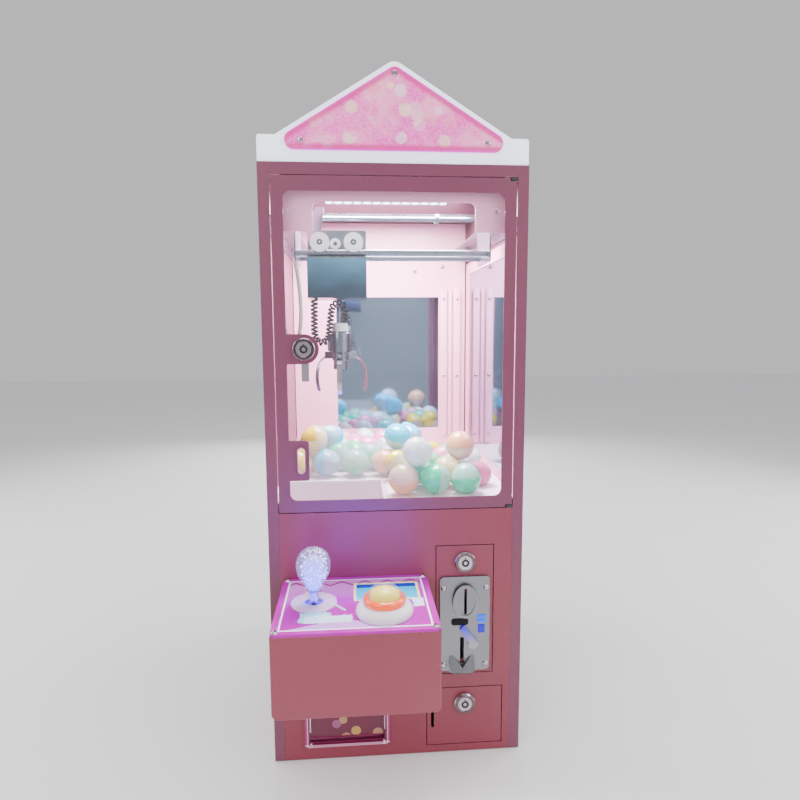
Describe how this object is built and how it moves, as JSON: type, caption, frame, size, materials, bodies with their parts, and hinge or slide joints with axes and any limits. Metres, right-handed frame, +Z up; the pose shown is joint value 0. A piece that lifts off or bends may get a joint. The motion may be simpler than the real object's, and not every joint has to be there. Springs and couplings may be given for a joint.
{
  "type": "claw crane machine",
  "caption": "Free-standing coin-operated claw crane machine with a glazed front door, gantry crane, prize chute, control box with joystick and drop button, and peaked lit header.",
  "frame": {"origin": "on the floor under the middle of the machine's bounding box", "axes": "+Z up, the player's side faces -Y, +X to the player's right"},
  "size_m": [0.32, 0.523, 0.8619],
  "materials": {
    "painted_steel": "satin dusty rose metallic paint",
    "inner_paint": "satin pale pink paint",
    "zinc": "bright zinc plate",
    "chrome": "polished",
    "mirror": "mirror",
    "rubber": "matt",
    "black_plastic": "matt",
    "white_plastic": "satin",
    "header_white": "gloss",
    "art_pink": "gloss printed",
    "panel_magenta": "gloss printed",
    "clear": "clear",
    "lcd": "gloss",
    "crystal": "clear faceted",
    "dome": "clear lens",
    "cast": "satin cast zinc",
    "capsule": "gloss pastel",
    "flap": "gloss tinted",
    "board": "solder mask",
    "lamp": "diffuser",
    "cable_grey": "satin",
    "cable_black": "satin",
    "string": "braided",
    "white_wheel": "nylon"
  },
  "bodies": {
    "cabinet": {"base_pan": "painted_steel", "feet": "rubber", "side_panels": "painted_steel", "top_panel": "painted_steel", "back_panel": "painted_steel", "front_fascia": "painted_steel", "power_inlet": "black_plastic", "hinge_brackets": "black_plastic", "header_shell": "header_white", "header_art_panel": "art_pink", "panel_screws": "chrome", "led_strips": "lamp", "prize_frame": "panel_magenta", "prize_chute": "zinc", "playfield_deck": "inner_paint", "chute_guard": "clear", "mirrors": "mirror", "interior_trim": "inner_paint", "capsules": "capsule", "control_box": "painted_steel", "control_panel": "panel_magenta", "lcd_display": "lcd", "joystick_base": "black_plastic", "joystick_disc": "clear", "button_housing": "white_plastic", "cash_box": "zinc", "electronics": "board", "side_rails": "zinc"},
    "door": {"door_frame": "painted_steel", "door_glass": "clear", "door_lock_barrel": "chrome"},
    "door_lock": {"door_lock_plug": "chrome"},
    "coin_hatch": {"coin_door": "painted_steel", "coin_plate": "cast", "coin_mech": "black_plastic", "coin_lock_barrel": "chrome"},
    "coin_lock": {"coin_lock_plug": "chrome"},
    "coin_lever": {"coin_return_lever": "white_plastic"},
    "cash_hatch": {"cash_door": "painted_steel", "cash_lock_barrel": "chrome"},
    "cash_lock": {"cash_lock_plug": "chrome"},
    "flap": {"prize_flap": "flap"},
    "gimbal": {"joystick_gimbal": "zinc"},
    "stick": {"joystick_stick": "chrome", "joystick_knob": "crystal"},
    "button": {"button_plunger": "dome"},
    "gantry": {"gantry_frame": "zinc", "gantry_cable": "cable_grey"},
    "drive_shaft": {"gantry_drive_shaft": "zinc"},
    "trolley": {"trolley_frame": "zinc", "trolley_cover": "chrome"},
    "rollers_left": {"trolley_wheels_left": "white_wheel"},
    "rollers_right": {"trolley_wheels_right": "white_wheel"},
    "spool": {"winch_spool": "white_wheel"},
    "claw": {"claw_body": "zinc", "claw_string": "string", "curly_cord": "cable_black"},
    "prong_a": {"prong_1": "chrome"},
    "prong_b": {"prong_2": "chrome"},
    "prong_c": {"prong_3": "chrome"}
  },
  "joints": [
    {"name": "door_swing", "type": "hinge", "parent": "cabinet", "child": "door", "pos_m": [0.1424, -0.1189, 0.532], "axis": [0, 0, 1], "range_deg": [0, 110]},
    {"name": "door_lock_turn", "type": "hinge", "parent": "door", "child": "door_lock", "pos_m": [-0.111, -0.1215, 0.532], "axis": [0, 1, 0], "range_deg": [0, 90]},
    {"name": "coin_door_fold", "type": "hinge", "parent": "cabinet", "child": "coin_hatch", "pos_m": [0.086, -0.1189, 0.1136], "axis": [1, 0, 0], "range_deg": [0, 50]},
    {"name": "coin_lock_turn", "type": "hinge", "parent": "coin_hatch", "child": "coin_lock", "pos_m": [0.086, -0.1215, 0.2607], "axis": [0, 1, 0], "range_deg": [0, 90]},
    {"name": "coin_lever_press", "type": "hinge", "parent": "coin_hatch", "child": "coin_lever", "pos_m": [0.0965, -0.1275, 0.1524], "axis": [0, 1, 0], "range_deg": [-20, 0], "stiffness_Nm_per_rad": 0.05},
    {"name": "cash_door_swing", "type": "hinge", "parent": "cabinet", "child": "cash_hatch", "pos_m": [0.1332, -0.1189, 0.051], "axis": [0, 0, 1], "range_deg": [0, 100]},
    {"name": "cash_lock_turn", "type": "hinge", "parent": "cash_hatch", "child": "cash_lock", "pos_m": [0.0868, -0.1215, 0.0692], "axis": [0, 1, 0], "range_deg": [0, 90]},
    {"name": "flap_swing", "type": "hinge", "parent": "cabinet", "child": "flap", "pos_m": [-0.066, -0.1179, 0.111], "axis": [1, 0, 0], "range_deg": [0, 60]},
    {"name": "stick_fore_aft", "type": "hinge", "parent": "cabinet", "child": "gimbal", "pos_m": [-0.1005, -0.1905, 0.234], "axis": [1, 0, 0], "range_deg": [-15, 15], "stiffness_Nm_per_rad": 0.5},
    {"name": "stick_left_right", "type": "hinge", "parent": "gimbal", "child": "stick", "pos_m": [-0.1005, -0.1905, 0.234], "axis": [0, 1, 0], "range_deg": [-15, 15], "stiffness_Nm_per_rad": 0.5},
    {"name": "button_press", "type": "slide", "parent": "cabinet", "child": "button", "axis": [0, 0, -1], "range_m": [0, 0.004], "stiffness_N_per_m": 400},
    {"name": "gantry_travel", "type": "slide", "parent": "cabinet", "child": "gantry", "axis": [0, 1, 0], "range_m": [0, 0.22], "deforming": ["gantry_cable"]},
    {"name": "drive_shaft_spin", "type": "hinge", "parent": "gantry", "child": "drive_shaft", "pos_m": [0, -0.0235, 0.70208], "axis": [-1, 0, 0], "range_deg": [-5, 1600]},
    {"name": "trolley_travel", "type": "slide", "parent": "gantry", "child": "trolley", "axis": [1, 0, 0], "range_m": [0, 0.145]},
    {"name": "rollers_left_spin", "type": "hinge", "parent": "trolley", "child": "rollers_left", "pos_m": [-0.092, -0.0465, 0.66358], "axis": [0, 1, 0], "range_deg": [-5, 1000]},
    {"name": "rollers_right_spin", "type": "hinge", "parent": "trolley", "child": "rollers_right", "pos_m": [-0.05, -0.0465, 0.66358], "axis": [0, 1, 0], "range_deg": [-5, 1000]},
    {"name": "claw_drop", "type": "slide", "parent": "trolley", "child": "claw", "axis": [0, 0, -1], "range_m": [0, 0.115], "deforming": ["claw_string", "curly_cord"]},
    {"name": "spool_spin", "type": "hinge", "parent": "trolley", "child": "spool", "pos_m": [-0.0728, -0.0465, 0.66258], "axis": [0, 1, 0], "range_deg": [-5, 2300]},
    {"name": "prong_a_close", "type": "hinge", "parent": "claw", "child": "prong_a", "pos_m": [-0.05222, -0.03758, 0.52], "axis": [-0.4695, 0.8829, 0], "range_deg": [0, 35]},
    {"name": "prong_b_close", "type": "hinge", "parent": "claw", "child": "prong_b", "pos_m": [-0.08511, -0.03643, 0.52], "axis": [-0.5299, -0.848, 0], "range_deg": [0, 35]},
    {"name": "prong_c_close", "type": "hinge", "parent": "claw", "child": "prong_c", "pos_m": [-0.06966, -0.06549, 0.52], "axis": [0.9994, -0.0349, 0], "range_deg": [0, 35]}
  ],
  "couplings": [
    {"joint": "drive_shaft_spin", "follows": "gantry_travel", "rad_per_m": 125},
    {"joint": "rollers_left_spin", "follows": "trolley_travel", "rad_per_m": 117.65},
    {"joint": "rollers_right_spin", "follows": "trolley_travel", "rad_per_m": 117.65},
    {"joint": "spool_spin", "follows": "claw_drop", "rad_per_m": 333.33},
    {"joint": "prong_b_close", "follows": "prong_a_close", "ratio": 1},
    {"joint": "prong_c_close", "follows": "prong_a_close", "ratio": 1}
  ]
}
